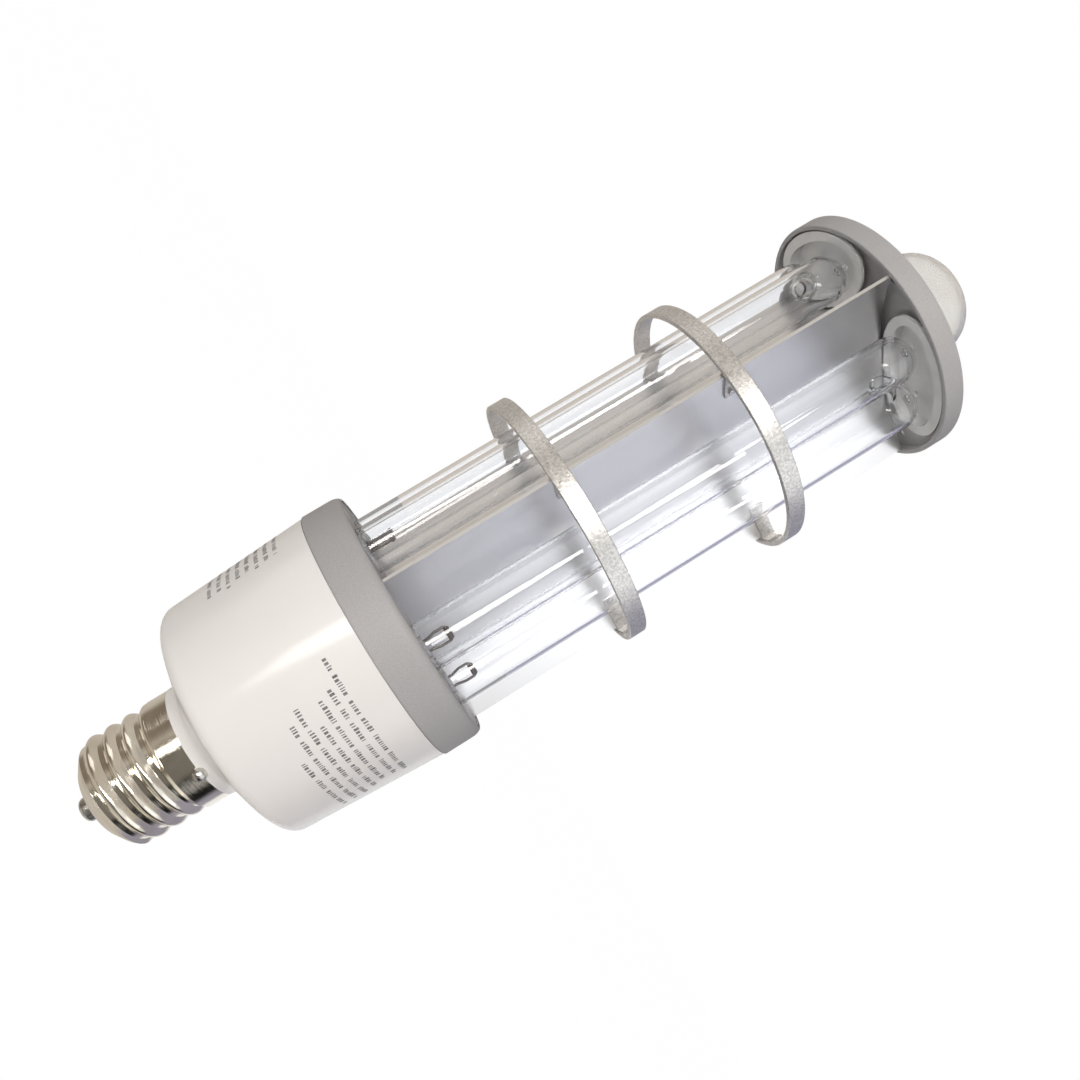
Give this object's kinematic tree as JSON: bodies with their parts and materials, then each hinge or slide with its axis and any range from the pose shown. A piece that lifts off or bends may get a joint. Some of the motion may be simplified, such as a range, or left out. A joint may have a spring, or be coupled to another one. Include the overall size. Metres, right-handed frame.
{
  "type": "uv corn bulb",
  "caption": "Ultraviolet corn lamp: clear twin tubes round a three-cornered reflector, guard rings, white ballast housing, large screw base and sensor dome.",
  "frame": {"origin": "tip of the screw base's centre contact, on the lamp's axis", "axes": "+Z along the lamp's axis from the screw base to the sensor dome; -Y through one corner of the reflector, +Y through the middle of one lamp bay"},
  "size_m": [0.092, 0.092, 0.3511],
  "materials": {
    "nickel_plate": "bright nickel plate",
    "contact_solder": "dull solder",
    "dark_insulator": "satin",
    "white_housing": "semi-gloss moulded",
    "silver_paint": "satin silver paint",
    "silver_band": "satin",
    "reflector_sheet": "bright rolled",
    "quartz_glass": "clear polished",
    "stem_glass": "pressed",
    "electrode_wire": "drawn wire",
    "grey_cup": "glossy",
    "pale_dome": "translucent",
    "white_ceramic": "matt",
    "brass": "bright",
    "steel": "zinc plated",
    "wire_sleeve": "matt",
    "circuit_board": "satin",
    "black_plastic": "satin"
  },
  "bodies": {
    "root": {"ballast_board": "circuit_board", "ballast_housing": "white_housing", "base_insulator": "dark_insulator", "board_screws": "steel", "center_contact": "contact_solder", "choke_coils": "black_plastic", "clip_rivets": "steel", "collar_ring": "silver_paint", "contact_lead": "wire_sleeve", "cover_screws": "steel", "deck_screws": "steel", "electrodes_1": "electrode_wire", "electrodes_2": "electrode_wire", "electrodes_3": "electrode_wire", "end_cover": "silver_paint", "end_cup_1": "grey_cup", "end_cup_2": "grey_cup", "end_cup_3": "grey_cup", "end_disc": "silver_paint", "film_capacitors": "black_plastic", "guard_ring_lower": "silver_band", "guard_ring_upper": "silver_band", "lamp_base_1": "white_ceramic", "lamp_base_2": "white_ceramic", "lamp_base_3": "white_ceramic", "lamp_connectors": "white_ceramic", "lamp_deck": "silver_paint", "lamp_pins": "brass", "line_filter": "black_plastic", "line_fuse": "brass", "reflector_panel_1": "reflector_sheet", "reflector_panel_2": "reflector_sheet", "reflector_panel_3": "reflector_sheet", "ring_clip_lower_1": "silver_band", "ring_clip_lower_2": "silver_band", "ring_clip_lower_3": "silver_band", "ring_clip_upper_1": "silver_band", "ring_clip_upper_2": "silver_band", "ring_clip_upper_3": "silver_band", "screw_shell": "nickel_plate", "sensor_board": "circuit_board", "sensor_dome": "pale_dome", "sensor_eye": "steel", "sensor_lead": "wire_sleeve", "sensor_standoffs": "white_ceramic", "shell_lead": "wire_sleeve", "shell_solder": "contact_solder", "signal_receiver": "black_plastic", "stem_press_1": "stem_glass", "stem_press_2": "stem_glass", "stem_press_3": "stem_glass", "storage_capacitors": "black_plastic", "switching_transistors": "black_plastic", "tie_tube": "steel", "tube_nuts": "steel", "uv_lamp_1": "quartz_glass", "uv_lamp_2": "quartz_glass", "uv_lamp_3": "quartz_glass"}
  },
  "joints": []
}
